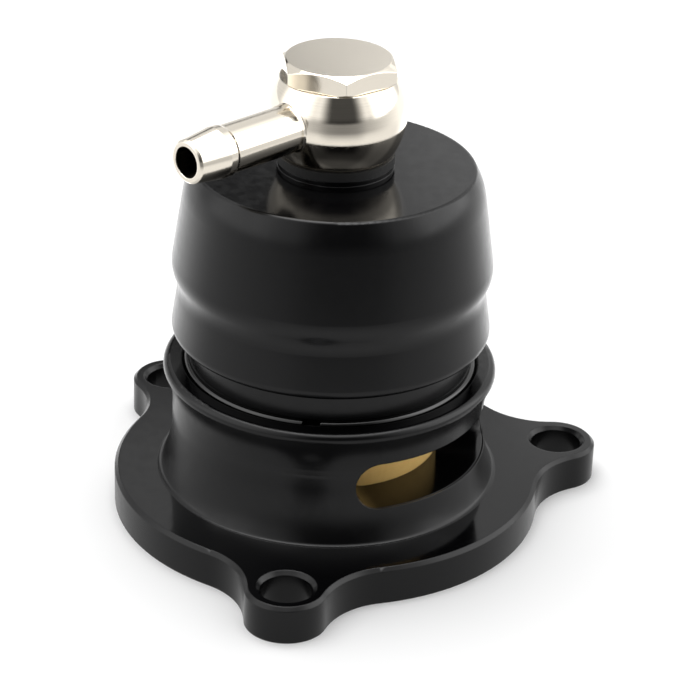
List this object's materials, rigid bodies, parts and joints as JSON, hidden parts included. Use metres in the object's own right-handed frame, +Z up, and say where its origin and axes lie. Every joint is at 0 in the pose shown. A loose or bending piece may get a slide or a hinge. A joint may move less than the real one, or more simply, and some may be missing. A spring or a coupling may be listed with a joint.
{
  "type": "blow off valve",
  "caption": "Black blow off valve: lugged base flange with a slotted skirt, sprung brass piston inside, tapered screw-on cap and a nickel banjo hose barb on top.",
  "frame": {"origin": "centre of the inlet at the flat underside of the flange", "axes": "+Z up the valve's axis towards the hose fitting, -Y towards the side with the first lug"},
  "size_m": [0.0664, 0.0674, 0.0643],
  "materials": {
    "black_anodised": "black anodised, satin gloss",
    "polished_brass": "fine turned, polished",
    "nickel_plate": "bright nickel plate over brass",
    "spring_steel": "drawn wire",
    "black_rubber": "smooth moulded",
    "black_washer": "smooth moulded"
  },
  "bodies": {
    "housing": {"base_flange": "black_anodised", "valve_body": "black_anodised", "cap": "black_anodised", "return_spring": "spring_steel", "cap_seal": "black_rubber", "body_seal": "black_rubber", "flange_seal": "black_rubber", "retaining_ring": "spring_steel", "cap_washer": "black_washer", "banjo_fitting": "nickel_plate", "banjo_bolt": "nickel_plate", "bolt_seal": "black_rubber"},
    "piston": {"piston": "polished_brass", "piston_seal": "black_rubber", "seat_seal": "black_rubber"}
  },
  "joints": [
    {"name": "piston_lift", "type": "slide", "parent": "housing", "child": "piston", "axis": [0, 0, 1], "range_m": [0, 0.0055], "stiffness_N_per_m": 1200, "springref_m": -0.012, "deforming": ["return_spring"]}
  ]
}
